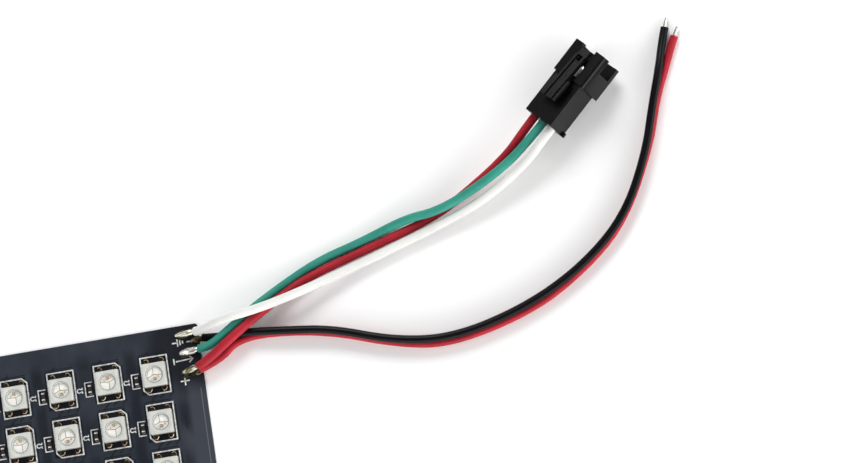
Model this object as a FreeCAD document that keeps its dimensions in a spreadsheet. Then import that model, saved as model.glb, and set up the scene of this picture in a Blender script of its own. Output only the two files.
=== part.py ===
"""RGB LED matrix panel: a thin black flexible board with 8 columns of 8 square RGB LEDs,
a three-wire data pigtail that ends in a locking connector, and a two-wire power lead.

Frame: the board lies on its back on the XY plane, +Z up out of the LED side, +X along an
LED row towards the wires, +Y along a column, origin under the board's middle. Millimetres.
"""
import FreeCAD, Part
import math
import os
import Sketcher

doc = FreeCAD.newDocument("rgb_led_matrix_panel")

# Driving dimensions
SIZES = {
    # flexible board
    "led_pitch": 10.0,
    "columns": 8,
    "rows": 8,
    "side_margin": 10.15,
    "end_margin": 9.35,
    "board_thick": 0.3,
    "board_corner": 0.6,
    # one LED package
    "led_side": 5.0,
    "led_height": 1.6,
    "led_draft": 3.5,
    "cup_top": 3.7,
    "cup_slope": 23,
    "cup_deep": 0.7,
    "lead_wide": 1.2,
    "lead_thick": 0.15,
    "lead_spread": 3.2,
    "lead_foot": 1.2,
    "lead_reach": 0.7,
    # one capacitor beside each LED
    "cap_long": 1.6,
    "cap_wide": 0.8,
    "cap_high": 0.7,
    "cap_left": 4.0,
    "cap_down": 0.7,
    # solder joints at the wire pads, in from the board's wire corner
    "pad_inset": 3.05,
    "pad_down": 1.6,
    "pad_pitch": 4.0,
    "joint_long": 3.5,
    "joint_wide": 1.3,
    "power_inset": 1.25,
    "power_minus_down": 3.45,
    "power_plus_down": 11.3,
    "power_joint_long": 2.6,
    "power_reach": 1.2,
    "joint_rise": 25,
    "conductor_dia": 0.8,
    # wires
    "data_wire_dia": 1.85,
    "power_wire_dia": 1.7,
    "floor_gap": 0.02,
    "tip_dia": 0.8,
    "tip_long": 2.4,
    # connector housing, along its own axis
    "housing_long": 17.9,
    "hood_back": 10.2,
    "back_wide": 7.2,
    "back_low": 0.65,
    "back_high": 6.45,
    "hood_wide": 8.9,
    "hood_high": 7.6,
    "hood_wall": 0.8,
    "hood_round": 1.1,
    "way_pitch": 2.5,
    "way_dia": 2.1,
    "way_deep": 1.6,
    "way_level": 4.2,
    "lead_in": 3.0,
    "slot_wide": 3.6,
    "slot_back": 11.2,
    "notch_long": 3.2,
    "notch_top": 2.1,
    "lever_tail": 4.4,
    "lever_nose": 17.0,
    "lever_wide": 4.0,
    "lever_neck": 2.4,
    "lever_thick": 0.8,
    "lever_lift": 0.95,
    "lever_slope": 0.09,
    "lever_hook": 0.7,
    "window_long": 1.3,
    "window_wide": 1.0,
    "rail_wide": 0.5,
    "rail_high": 0.35,
    "pivot_at": 10.2,
    "pivot_long": 1.0,
    "nub": 0.5,
    # three pin contacts in the hood
    "pin_dia": 0.9,
    "pin_seat": 4.5,
    "pin_long": 9.6,
    "pin_point": 0.6,
    "pin_level": 5.1,
    # where the connector lies, out from the board's wire corner
    "connector_out": 79.2,
    "connector_up": 27.3,
    "connector_turn": 43.4,
    "connector_roll": 19.4,
}

sheet = doc.addObject("Spreadsheet::Sheet", "Sizes")
for row, (alias, value) in enumerate(SIZES.items(), start=1):
    sheet.set("A%d" % row, alias)
    sheet.set("B%d" % row, str(value))
    sheet.setAlias("B%d" % row, alias)
doc.recompute()


def size(alias):
    """The value of one driving dimension, read back from the sheet."""
    return float(sheet.get(alias))


def named(expression):
    """Give every driving dimension in an expression its sheet, such as Sizes.led_pitch."""
    words = []
    word = ""
    for letter in expression + " ":
        if letter.isalnum() or letter == "_":
            word += letter
            continue
        words.append("Sizes." + word if word in SIZES else word)
        words.append(letter)
        word = ""
    return "".join(words).strip()


def bind(thing, **properties):
    """Bind properties of an object to expressions on the sheet."""
    for key, expression in properties.items():
        thing.setExpression(key.replace("__", "."), named(expression))


def new_body(label):
    """An empty part design body that may hold several separate solids."""
    body = doc.addObject("PartDesign::Body", label)
    body.Label = label
    body.AllowCompound = True
    return body


def origin_feature(body, role):
    """One of a body's own origin planes or axes."""
    return next(item for item in body.Origin.OriginFeatures if item.Role == role)


def outline(body, name, plane, corners, level="0"):
    """A closed sketch with straight sides whose corners are bound to expressions."""
    sketch = body.newObject("Sketcher::SketchObject", name)
    sketch.AttachmentSupport = [(origin_feature(body, plane), "")]
    sketch.MapMode = "FlatFace"
    bind(sketch, AttachmentOffset__Base__z=level)
    count = len(corners)
    ring = [
        FreeCAD.Vector(math.cos(2 * math.pi * i / count), math.sin(2 * math.pi * i / count), 0)
        for i in range(count)
    ]
    for i in range(count):
        sketch.addGeometry(Part.LineSegment(ring[i], ring[(i + 1) % count]), False)
    for i in range(count):
        sketch.addConstraint(Sketcher.Constraint("Coincident", i, 2, (i + 1) % count, 1))
    for i, pair in enumerate(corners):
        for kind, axis, expression in (("DistanceX", "x", pair[0]), ("DistanceY", "y", pair[1])):
            start = ring[i].x if axis == "x" else ring[i].y
            index = sketch.addConstraint(Sketcher.Constraint(kind, -1, 1, i, 1, start))
            sketch.renameConstraint(index, "%s%d" % (axis, i))
            sketch.setExpression("Constraints.%s%d" % (axis, i), named(expression))
    return sketch


def box_corners(left, right, low, high):
    """The four corners of an upright rectangle, as expressions."""
    return [(left, low), (right, low), (right, high), (left, high)]


def pad(body, name, sketch, length, feature="PartDesign::Pad", reverse=False):
    """Pad or pocket a sketch by a bound length."""
    made = body.newObject(feature, name)
    made.Profile = sketch
    made.Reversed = reverse
    bind(made, Length=length)
    sketch.Visibility = False
    return made


def repeat(body, name, originals, axis, length, count):
    """Repeat features in a straight line, first to last over a bound length."""
    pattern = body.newObject("PartDesign::LinearPattern", name)
    pattern.Originals = originals
    pattern.Direction = (origin_feature(body, axis), [""])
    bind(pattern, Length=length, Occurrences=count)
    body.Tip = pattern
    return pattern


parts = []

# Flexible board: one thin sheet with its four corners just broken
board = new_body("flex_board")
half_wide = "((columns - 1) * led_pitch / 2 + side_margin)"
half_tall = "((rows - 1) * led_pitch / 2 + end_margin)"
board_edge = outline(
    board, "board_outline", "XY_Plane",
    box_corners("-" + half_wide, half_wide, "-" + half_tall, half_tall),
)
board_sheet = pad(board, "board_sheet", board_edge, "board_thick")
doc.recompute()
upright = [
    "Edge%d" % (i + 1) for i, edge in enumerate(board_sheet.Shape.Edges)
    if abs(edge.tangentAt(edge.FirstParameter).z) > 0.99
]
board_corners = board.newObject("PartDesign::Fillet", "board_corners")
board_corners.Base = (board_sheet, upright)
bind(board_corners, Radius="board_corner")
parts.append(board)

first_row = "(rows - 1) * led_pitch / 2"
seat = "board_thick + lead_thick"
CUP_SIDES = 12


def led_housings(label, centre_x):
    """One column of white LED packages: a square block with a slight draft and a tapered cup."""
    body = new_body(label)
    block = pad(body, label + "_block", outline(
        body, label + "_outline", "XY_Plane",
        box_corners(
            centre_x + " - led_side / 2", centre_x + " + led_side / 2",
            first_row + " - led_side / 2", first_row + " + led_side / 2",
        ),
        seat,
    ), "led_height - lead_thick")
    bind(block, TaperAngle="-led_draft")
    rim = [
        (
            "%s + cup_top / 2 * cos(%d)" % (centre_x, 360 * i // CUP_SIDES),
            "%s + cup_top / 2 * sin(%d)" % (first_row, 360 * i // CUP_SIDES),
        )
        for i in range(CUP_SIDES)
    ]
    cup = pad(body, label + "_cup", outline(
        body, label + "_rim", "XY_Plane", rim, "board_thick + led_height",
    ), "cup_deep", "PartDesign::Pocket")
    bind(cup, TaperAngle="-cup_slope")
    repeat(body, label + "_rows", [block, cup], "Y_Axis", "(rows - 1) * led_pitch", "rows").Reversed = True
    return body


def led_leads(label, centre_x):
    """The four flat leads of every LED in one column, two above and two below each package."""
    body = new_body(label)
    feet = []
    for side, across in (("left", "-"), ("right", "+")):
        for end, along in (("low", "-"), ("high", "+")):
            middle = "(%s) %s lead_spread / 2" % (centre_x, across)
            inner = "(%s) %s (led_side / 2 - lead_foot)" % (first_row, along)
            outer = "(%s) %s (led_side / 2 + lead_reach)" % (first_row, along)
            name = "%s_%s_%s" % (label, side, end)
            feet.append(pad(body, name, outline(
                body, name + "_outline", "XY_Plane",
                box_corners(middle + " - lead_wide / 2", middle + " + lead_wide / 2", inner, outer),
                "board_thick",
            ), "lead_thick"))
    repeat(body, label + "_rows", feet, "Y_Axis", "(rows - 1) * led_pitch", "rows").Reversed = True
    return body


def capacitors(label, centre_x):
    """One small chip capacitor at the left of every LED in one column."""
    body = new_body(label)
    middle = "(%s) - cap_left" % centre_x
    height = "(%s) - cap_down" % first_row
    chip = pad(body, label + "_chip", outline(
        body, label + "_outline", "XY_Plane",
        box_corners(
            middle + " - cap_wide / 2", middle + " + cap_wide / 2",
            height + " - cap_long / 2", height + " + cap_long / 2",
        ),
        "board_thick",
    ), "cap_high")
    repeat(body, label + "_rows", [chip], "Y_Axis", "(rows - 1) * led_pitch", "rows").Reversed = True
    return body


for column in range(int(size("columns"))):
    centre_x = "(%d - (columns - 1) / 2) * led_pitch" % column
    number = column + 1
    parts.append(led_housings("led_housings_%d" % number, centre_x))
    parts.append(led_leads("led_leads_%d" % number, centre_x))
    parts.append(capacitors("capacitors_%d" % number, centre_x))


PADS = ("gnd", "data", "plus")

# Connector housing, one moulding. In its own frame X runs from the wire end to the mouth,
# Y to the left and Z up out of the lever side.
housing = new_body("connector_housing")
back_block = pad(housing, "back_block", outline(
    housing, "back_outline", "YZ_Plane",
    box_corners("-back_wide / 2", "back_wide / 2", "back_low", "back_low + back_high"),
), "hood_back + hood_wall")
hood_block = pad(housing, "hood_block", outline(
    housing, "hood_outline", "YZ_Plane",
    [
        ("-hood_wide / 2", "0"),
        ("hood_wide / 2", "0"),
        ("hood_wide / 2", "hood_high - hood_round"),
        ("hood_wide / 2 - hood_round * 0.3", "hood_high - hood_round * 0.3"),
        ("hood_wide / 2 - hood_round", "hood_high"),
        ("-hood_wide / 2 + hood_round", "hood_high"),
        ("-hood_wide / 2 + hood_round * 0.3", "hood_high - hood_round * 0.3"),
        ("-hood_wide / 2", "hood_high - hood_round"),
    ],
    "hood_back",
), "housing_long - hood_back")
pad(housing, "mouth", outline(
    housing, "mouth_outline", "YZ_Plane",
    box_corners(
        "-hood_wide / 2 + hood_wall", "hood_wide / 2 - hood_wall",
        "hood_wall", "back_low + back_high - hood_wall",
    ),
    "hood_back + hood_wall",
), "housing_long", "PartDesign::Pocket", True)
pad(housing, "lever_slot", outline(
    housing, "slot_outline", "XY_Plane",
    box_corners("slot_back", "housing_long + hood_wall", "-slot_wide / 2", "slot_wide / 2"),
    "hood_high / 2",
), "hood_high", "PartDesign::Pocket", True)
pad(housing, "side_notch", outline(
    housing, "notch_outline", "XZ_Plane",
    box_corners("housing_long - notch_long", "housing_long + hood_wall",
                "hood_wall * 1.5", "hood_high - notch_top"),
    "hood_wide / 2 - hood_wall * 1.5",
), "hood_wide", "PartDesign::Pocket", True)
pad(housing, "back_nub", outline(
    housing, "nub_outline", "XY_Plane",
    box_corners("0", "nub * 2", "-back_wide / 2 - nub", "-back_wide / 2"),
    "back_low",
), "nub * 1.4")


def lever_under(x):
    """Height of the lever's underside at a place along the housing: it slopes down to the nose."""
    return "(back_low + back_high + lever_lift + (pivot_at - (%s)) * lever_slope)" % x


# latch lever: a rocking arm on a short web, with a catch window and two rails on its top
hook_back = "lever_nose - lever_thick * 2"
pad(housing, "lever_arm", outline(
    housing, "lever_side", "XZ_Plane",
    [
        ("lever_tail", lever_under("lever_tail")),
        ("pivot_at - pivot_long", lever_under("pivot_at - pivot_long")),
        ("pivot_at - pivot_long", "back_low + back_high"),
        ("pivot_at", "back_low + back_high"),
        ("pivot_at", lever_under("pivot_at")),
        (hook_back, lever_under(hook_back)),
        (hook_back, lever_under(hook_back) + " - lever_hook"),
        ("lever_nose - lever_thick", lever_under(hook_back) + " - lever_hook"),
        ("lever_nose", lever_under("lever_nose") + " + lever_thick / 3"),
        ("lever_nose", lever_under("lever_nose") + " + lever_thick"),
        ("lever_tail", lever_under("lever_tail") + " + lever_thick"),
    ],
    "-lever_neck / 2",
), "lever_neck")
pad(housing, "catch_window", outline(
    housing, "window_outline", "XY_Plane",
    box_corners(hook_back + " - window_long", hook_back, "-window_wide / 2", "window_wide / 2"),
    "hood_high / 2",
), "hood_high", "PartDesign::Pocket", True)
tail_end = "hood_back - hood_wall"
pad(housing, "lever_press", outline(
    housing, "press_side", "XZ_Plane",
    [
        ("lever_tail", lever_under("lever_tail")),
        (tail_end, lever_under(tail_end)),
        (tail_end, lever_under(tail_end) + " + lever_thick"),
        ("lever_tail", lever_under("lever_tail") + " + lever_thick"),
    ],
    "-lever_wide / 2",
), "lever_wide")
for side, start in (("left", "-lever_neck / 2"), ("right", "lever_neck / 2 - rail_wide")):
    pad(housing, side + "_rail", outline(
        housing, side + "_rail_side", "XZ_Plane",
        [
            ("lever_tail", lever_under("lever_tail") + " + lever_thick"),
            (hook_back, lever_under(hook_back) + " + lever_thick"),
            (hook_back, lever_under(hook_back) + " + lever_thick + rail_high"),
            ("lever_tail", lever_under("lever_tail") + " + lever_thick + rail_high"),
        ],
        start,
    ), "rail_wide")


def bored(name, diameter, depth, start, across, level):
    """A round hole in the housing, running from a place on its axis towards the mouth."""
    hole = housing.newObject("PartDesign::SubtractiveCylinder", name)
    hole.Placement = FreeCAD.Placement(FreeCAD.Vector(), FreeCAD.Rotation(FreeCAD.Vector(0, 1, 0), 90))
    bind(
        hole, Radius=diameter + " / 2", Height=depth, Placement__Base__x=start,
        Placement__Base__y=across, Placement__Base__z=level,
    )


def way_across(i):
    """Side offset of one of the connector's three ways: minus at the right, plus at the left."""
    return "%d * way_pitch" % (i - 1)


for i, way in enumerate(PADS):
    bored("wire_way_" + way, "way_dia", "way_deep", "0", way_across(i), "way_level")
    bored("pin_way_" + way, "pin_dia", "hood_back + hood_wall - pin_seat", "pin_seat", way_across(i), "pin_level")
housing.setExpression("Placement", named(
    "placement(vector(" + half_wide + " + connector_out; " + half_tall + " + connector_up; "
    "hood_wide / 2 * sin(connector_roll)); "
    "rotation(connector_turn; 0; -connector_roll))"
))
parts.append(housing)


def round_bar(label, length, diameter, point):
    """A turned bar along X from its own origin, with its far end chamfered."""
    body = new_body(label)
    bar = body.newObject("PartDesign::Revolution", label + "_bar")
    bar.Profile = outline(body, label + "_half", "XY_Plane", [
        ("0", "0"),
        (length, "0"),
        (length, "%s / 2 - (%s) / 2" % (diameter, point)),
        ("%s - (%s)" % (length, point), diameter + " / 2"),
        ("0", diameter + " / 2"),
    ])
    bar.ReferenceAxis = (origin_feature(body, "X_Axis"), [""])
    bar.Angle = 360
    return body


# Three round pin contacts, pressed into the block behind the mouth
for i, way in enumerate(PADS):
    contact = round_bar("contact_pin_" + way, "pin_long", "pin_dia", "pin_point")
    contact.setExpression("Placement", named(
        "connector_housing.Placement * placement(vector(pin_seat; %s; pin_level); rotation(0; 0; 0))"
        % way_across(i)
    ))
    parts.append(contact)

doc.recompute()


V = FreeCAD.Vector
RUN_SHARE = 0.45
corner_x = (size("columns") - 1) * size("led_pitch") / 2 + size("side_margin")
corner_y = (size("rows") - 1) * size("led_pitch") / 2 + size("end_margin")


def from_corner(out, up, level):
    """A place given from the board's wire corner: outwards past its edge, and upwards along it."""
    return V(corner_x + out, corner_y + up, level)


def way_mouth(i, depth):
    """A place on a way's axis in the housing, a given depth inside the back face."""
    return housing.Placement.multVec(V(depth, (i - 1) * size("way_pitch"), size("way_level")))


def solder_joint(label, pad_centre, reach, long, first_point):
    """Solder over a wire's bare end: a spindle that rises from the pad along the wire's heading.

    It is cut flat at the board's top and at the insulation's face, whose middle is returned.
    """
    heading = V(first_point.x - pad_centre.x, first_point.y - pad_centre.y, 0)
    heading.normalize()
    end = pad_centre + heading * reach
    level_turn = FreeCAD.Rotation(V(1, 0, 0), heading)
    rise = FreeCAD.Rotation(V(0, 1, 0), -size("joint_rise"))
    body = new_body(label)
    body.Placement = FreeCAD.Placement(end, level_turn * rise)
    to_body = body.Placement.inverse()
    solder = body.newObject("PartDesign::Revolution", label + "_solder")
    solder.Profile = outline(body, label + "_half", "XY_Plane", [
        ("-" + long, "0"),
        ("conductor_dia", "0"),
        ("conductor_dia", "conductor_dia / 2"),
        ("0", "conductor_dia / 2"),
        ("-%s * 0.35" % long, "joint_wide / 2"),
        ("-" + long, "joint_wide / 2"),
    ])
    solder.ReferenceAxis = (origin_feature(body, "X_Axis"), [""])
    solder.Angle = 360
    room = 2 * size(long)
    ground = FreeCAD.Placement(V(end.x - room, end.y - room, size("board_thick") - room), FreeCAD.Rotation())
    face = FreeCAD.Placement(end, FreeCAD.Rotation(V(1, 0, 0), first_point - end))
    face = face * FreeCAD.Placement(V(0, -room, -room), FreeCAD.Rotation())
    for name, place in (("underside", ground), ("wire_face", face)):
        cut = body.newObject("PartDesign::SubtractiveBox", "%s_%s" % (label, name))
        bind(cut, Length="4 * " + long, Width="4 * " + long)
        bind(cut, Height=("2 * " if name == "underside" else "4 * ") + long)
        cut.Placement = to_body * place
    parts.append(body)
    return end


def rounded_path(label, points):
    """Straight runs joined by tangent arcs, each as large as its two runs allow."""
    edges = []
    radii = []
    start = points[0]
    for i in range(1, len(points) - 1):
        before = points[i - 1] - points[i]
        after = points[i + 1] - points[i]
        shorter = min(before.Length, after.Length)
        turn = math.pi - before.getAngle(after)
        reach = RUN_SHARE * shorter
        radii.append(reach / math.tan(turn / 2))
        before.normalize()
        after.normalize()
        inward = before + after
        inward.normalize()
        to_centre = radii[-1] / math.cos(turn / 2)
        first = points[i] + before * reach
        last = points[i] + after * reach
        middle = points[i] + inward * (to_centre - radii[-1])
        edges.append(Part.LineSegment(start, first).toShape())
        edges.append(Part.Arc(first, middle, last).toShape())
        start = last
    edges.append(Part.LineSegment(start, points[-1]).toShape())
    print(label, "bend radii in mm:", ", ".join("%.0f" % radius for radius in radii))
    return Part.Wire(edges)


def wire_tube(label, points, diameter):
    """One insulated wire as a plain round tube along its rounded path."""
    path = rounded_path(label, points)
    section = Part.Wire([Part.Circle(points[0], points[1] - points[0], diameter / 2).toShape()])
    expected = math.pi * diameter ** 2 / 4 * path.Length
    wire = doc.addObject("Part::Feature", label)
    wire.Label = label
    wire.Shape = path.makePipeShell([section], True, False)
    print(label, "length %.1f mm, volume ratio %.4f" % (path.Length, wire.Shape.Volume / expected))
    parts.append(wire)


# Wire routes, in the order of the pads. The three data wires cross one another just off the
# board, lie down side by side and rise again to the connector, which rests on one edge.
data_dia = size("data_wire_dia")
power_dia = size("power_wire_dia")
low = power_dia / 2 + size("floor_gap")
P = from_corner

gnd_route = [
    P(2.9, -1.9, 3.45), P(7.1, -1.5, 5.35), P(13.7, 0.7, 5.05), P(21.3, 2.0, 3.35),
    P(30.9, 5.1, 1.6), P(41.9, 8.2, 0.95), P(53.1, 11.5, 1.25), P(63.4, 15.0, 2.6),
    P(72.6, 20.2, 4.6),
]
data_route = [
    P(2.5, -5.0, 2.7), P(6.2, -3.4, 3.6), P(11.3, 0.6, 2.6), P(16.8, 3.6, 1.45),
    P(26.8, 8.3, 0.95), P(35.9, 10.6, 0.95), P(46.2, 13.8, 1.95), P(53.6, 14.1, 3.35),
    P(61.5, 17.1, 4.0), P(69.8, 21.3, 4.65),
]
plus_route = [
    P(1.9, -7.4, 3.4), P(6.6, -5.3, 4.45), P(11.5, -1.8, 3.65), P(18.8, 2.5, 1.8),
    P(26.8, 6.1, 1.35), P(38.7, 9.4, 1.3), P(50.1, 12.7, 0.95), P(58.2, 16.3, 1.3),
    P(69.1, 22.8, 2.9),
]
for i, (way, colour, route) in enumerate((
    ("gnd", "white", gnd_route), ("data", "green", data_route), ("plus", "red", plus_route),
)):
    down = size("pad_down") + i * size("pad_pitch")
    pad_centre = from_corner(-size("pad_inset"), -down, size("board_thick") + data_dia / 2)
    start = solder_joint(
        "solder_joint_" + way, pad_centre, size("joint_long") / 2, "joint_long", route[0],
    )
    wire_tube(
        "data_wire_" + colour,
        [start] + route + [way_mouth(i, -size("lead_in")), way_mouth(i, size("way_deep"))], data_dia,
    )

# The power pair: the black wire rides on the red one and comes down beside it at the free end
minus_route = [
    P(4.0, -3.2, low), P(10.0, -4.2, 2.6), P(18.0, -4.9, 2.95), P(28.6, -6.5, 2.8),
    P(41.0, -11.0, 2.7), P(53.2, -12.4, 2.65), P(68.1, -8.8, 2.65), P(81.0, -2.5, 2.65),
    P(91.6, 6.4, 2.7), P(97.8, 18.8, 2.75), P(100.9, 28.6, 2.8), P(103.3, 35.8, 2.95),
    P(104.5, 41.2, 1.1), P(105.3, 44.5, low),
]
plus_pair_route = [
    P(4.1, -7.1, low), P(8.8, -5.0, low), P(17.5, -5.4, low), P(27.0, -6.1, low),
    P(41.2, -11.5, low), P(52.5, -13.2, low), P(68.8, -9.5, low), P(80.8, -3.1, low),
    P(91.1, 5.8, low), P(98.2, 19.4, low), P(101.6, 29.6, low), P(105.0, 38.0, low),
    P(107.7, 42.3, low),
]
for way, colour, route in (("minus", "black", minus_route), ("plus", "red", plus_pair_route)):
    down = size("power_%s_down" % way)
    pad_centre = from_corner(-size("power_inset"), -down, size("board_thick") + low)
    start = solder_joint(
        "solder_joint_power_" + way, pad_centre, size("power_reach"), "power_joint_long", route[0],
    )
    wire_tube("power_wire_" + colour, [start] + route, power_dia)
    tip = round_bar("tinned_tip_" + colour, "tip_long", "tip_dia", "tip_dia / 4")
    tip.Placement = FreeCAD.Placement(route[-1], FreeCAD.Rotation(V(1, 0, 0), route[-1] - route[-2]))
    parts.append(tip)

doc.recompute()
for item in doc.Objects:
    if "Invalid" in item.State or "Error" in item.State:
        raise RuntimeError("%s did not build: %s" % (item.Label, item.State))
os.makedirs("parts", exist_ok=True)
for item in parts:
    if item.Shape.isNull() or not item.Shape.isValid() or not item.Shape.Solids:
        raise RuntimeError("%s has no sound solid" % item.Label)
    item.Shape.exportStep("parts/%s.step" % item.Label)
print(len(parts), "parts written")
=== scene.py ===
"""RGB LED matrix panel: a thin black flexible board with white square LEDs, a three-wire data
lead that ends in a locking connector, and a black and red power lead with tinned ends.

The scene is in metres and the sizes here are in millimetres, unless a comment says otherwise. The
board lies on its back on the ground, +Z up out of its LED side.
"""

import math

import bmesh
import bpy
from mathutils import Matrix, Vector, noise


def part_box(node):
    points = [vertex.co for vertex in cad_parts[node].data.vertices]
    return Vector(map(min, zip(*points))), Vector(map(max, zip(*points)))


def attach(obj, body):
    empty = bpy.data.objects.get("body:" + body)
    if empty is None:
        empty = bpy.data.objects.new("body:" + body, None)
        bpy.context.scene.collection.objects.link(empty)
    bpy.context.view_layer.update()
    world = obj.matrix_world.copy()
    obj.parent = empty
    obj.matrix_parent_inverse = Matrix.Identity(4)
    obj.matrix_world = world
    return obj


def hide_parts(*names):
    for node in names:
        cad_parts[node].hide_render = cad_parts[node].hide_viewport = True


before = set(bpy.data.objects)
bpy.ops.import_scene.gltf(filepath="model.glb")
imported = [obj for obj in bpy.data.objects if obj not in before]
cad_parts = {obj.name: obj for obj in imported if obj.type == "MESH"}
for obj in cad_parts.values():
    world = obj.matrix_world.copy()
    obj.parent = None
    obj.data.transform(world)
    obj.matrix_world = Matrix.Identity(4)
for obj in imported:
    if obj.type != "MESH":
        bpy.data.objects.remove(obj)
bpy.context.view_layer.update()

# Camera: a long lens a metre off, which looks down on the board's wire corner from a little to the
# front right, so that the corner and both leads are seen from end to end.
MM = 0.001
LENS, SENSOR = 205.1, 36
CAMERA_FAR = 1000
LEAN, BEARING, ROLL = (math.radians(angle) for angle in (12.39, -56.57, -8.48))
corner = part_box("flex_board")[1] / MM


def at(out, up, level):
    """A place in millimetres, outwards and upwards from the board's wire corner."""
    return Vector((corner.x + out, corner.y + up, level))


looks_at = at(49.8, 11.0, 0) * MM
back = Vector((
    math.sin(LEAN) * math.cos(BEARING), math.sin(LEAN) * math.sin(BEARING), math.cos(LEAN),
))
up = (Vector((0, 1, 0)) - back * back.y).normalized()
up.rotate(Matrix.Rotation(ROLL, 3, back))
facing = Matrix((up.cross(back), up, back)).transposed().to_4x4()
camera = bpy.data.objects.new("camera", bpy.data.cameras.new("camera"))
camera.data.lens = LENS
camera.data.sensor_width = SENSOR
camera.data.clip_end = 10
camera.matrix_world = Matrix.Translation(looks_at + back * (CAMERA_FAR * MM)) @ facing
bpy.context.scene.collection.objects.link(camera)
bpy.context.scene.camera = camera
bpy.context.scene.view_settings.view_transform = "Standard"


# Wires: stranded copper in smooth plastic insulation, soldered to the board at one end. They are
# cut from a reel and keep a few soft bends; the three data wires cross just off the board.
class Wired:
    """One socket of a node tree. Arithmetic on it adds Math nodes to the tree."""

    def __init__(self, socket):
        self.socket = socket

    def node(self, kind, settings=None, inputs=None, output=0):
        """Any other node: its kind, then its settings, then its sockets' values or links."""
        tree = self.socket.id_data
        made = tree.nodes.new(kind)
        for key, value in (settings or {}).items():
            setattr(made, key, value)
        for key, value in (inputs or {}).items():
            if isinstance(value, Wired):
                tree.links.new(value.socket, made.inputs[key])
            else:
                made.inputs[key].default_value = value
        return Wired(made.outputs[output])

    def maths(self, operation, first, *others):
        """A Math node on values or links."""
        values = dict(enumerate((first, *others)))
        return self.node("ShaderNodeMath", {"operation": operation}, values)

    def __add__(self, other):
        return self.maths("ADD", self, other)

    __radd__ = __add__

    def __sub__(self, other):
        return self.maths("SUBTRACT", self, other)

    def __rsub__(self, other):
        return self.maths("SUBTRACT", other, self)

    def __mul__(self, other):
        return self.maths("MULTIPLY", self, other)

    __rmul__ = __mul__

    def __truediv__(self, other):
        return self.maths("DIVIDE", self, other)

    def __abs__(self):
        return self.maths("ABSOLUTE", self)

    def fade(self, low, high):
        """0 below low, 1 above high and a smooth step between."""
        return self.node(
            "ShaderNodeMapRange", {"interpolation_type": "SMOOTHSTEP"},
            {"Value": self, "From Min": low, "From Max": high},
        )

    def mix(self, first, second):
        """Two colours mixed, with this value as the share of the second."""
        return self.node("ShaderNodeMix", {"data_type": "RGBA"}, {0: self, 6: first, 7: second}, 2)

    def axis(self, letter):
        """One coordinate of this position, in millimetres."""
        return self.node("ShaderNodeSeparateXYZ", None, {0: self}, letter) / MM

    def speckle(self, width, detail=2.0, twist=0.0):
        """Noise on this position, in lumps of a width in millimetres."""
        return self.node("ShaderNodeTexNoise", None, {
            "Vector": self, "Scale": 1 / (width * MM), "Detail": detail, "Distortion": twist,
        })

    def relief(self, depth, strength=1.0):
        """A bump as high as a depth in millimetres where this value is 1."""
        return self.node("ShaderNodeBump", None, {
            "Strength": strength, "Distance": depth * MM, "Height": self,
        }, "Normal")


def finish(name, **constants):
    """A material with constants on the shader's own sockets, and the position to vary it by."""
    material = bpy.data.materials.new(name)
    material.use_nodes = True
    shader = material.node_tree.nodes["Principled BSDF"]
    for socket, value in constants.items():
        shader.inputs[socket.replace("_", " ")].default_value = value
    return material, Wired(shader.outputs[0]).node("ShaderNodeTexCoord", output="Object")


def vary(material, **values):
    """Lead what changes over the surface into the shader's sockets."""
    tree = material.node_tree
    for socket, value in values.items():
        tree.links.new(value.socket, tree.nodes["Principled BSDF"].inputs[socket.replace("_", " ")])
    return material


def colour(red, green, blue):
    """A colour with full alpha."""
    return (red, green, blue, 1)


def insulation(name, clean, dull, shine, gloss=0.0):
    """Extruded plastic: slightly cloudy, with a fine grain that breaks up its shine."""
    material, place = finish(name, Specular_IOR_Level=shine)
    cloud = place.speckle(5, 3).fade(0.35, 0.68)
    grain = place.speckle(0.3, 3)
    return vary(
        material, Base_Color=cloud.mix(clean, dull),
        Roughness=0.16 * grain + (0.42 - gloss), Normal=grain.relief(0.02, 0.5),
    )


def wire(name, points, diameter, material):
    """One wire as a round curve along its route points, which are in millimetres."""
    curve = bpy.data.curves.new(name, "CURVE")
    curve.dimensions = "3D"
    curve.bevel_depth = diameter / 2 * MM
    curve.bevel_resolution = 6
    curve.resolution_u = 10
    curve.use_fill_caps = True
    spline = curve.splines.new("NURBS")
    spline.points.add(len(points) - 1)
    for point, place in zip(spline.points, points):
        point.co = (*(place * MM), 1)
    spline.order_u = 3
    spline.use_endpoint_u = True
    curve.materials.append(material)
    thing = bpy.data.objects.new(name, curve)
    bpy.context.scene.collection.objects.link(thing)
    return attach(thing, "root")


DATA_DIA = 1.85
POWER_DIA = 1.7
FLOOR_GAP = 0.02
LOW = POWER_DIA / 2 + FLOOR_GAP

white_plastic = insulation(
    "white insulation", colour(0.69, 0.69, 0.67), colour(0.64, 0.635, 0.62), 0.15,
)
green_plastic = insulation(
    "green insulation", colour(0.033, 0.265, 0.2), colour(0.026, 0.22, 0.165), 0.2,
)
red_plastic = insulation(
    "red insulation", colour(0.36, 0.012, 0.024), colour(0.29, 0.009, 0.018), 0.2,
)
black_plastic = insulation(
    "black insulation", colour(0.0025, 0.0022, 0.0033), colour(0.004, 0.0036, 0.0045), 0.12, 0.15,
)

# The connector rests on one edge of its hood, turned and rolled. Each data wire goes straight into
# its way from a little before it.
WAY_PITCH, WAY_LEVEL, WAY_DEEP = 2.5, 4.2, 1.6
LEAD_IN = 3
HOOD_HALF = 4.45
HOUSING_TURN, HOUSING_ROLL = math.radians(43.4), math.radians(19.4)
housing_turn = Matrix.Rotation(HOUSING_TURN, 4, "Z") @ Matrix.Rotation(-HOUSING_ROLL, 4, "X")
housing_rise = HOOD_HALF * math.sin(HOUSING_ROLL)
housing_place = Matrix.Translation(at(79.2, 27.3, housing_rise)) @ housing_turn

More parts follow.
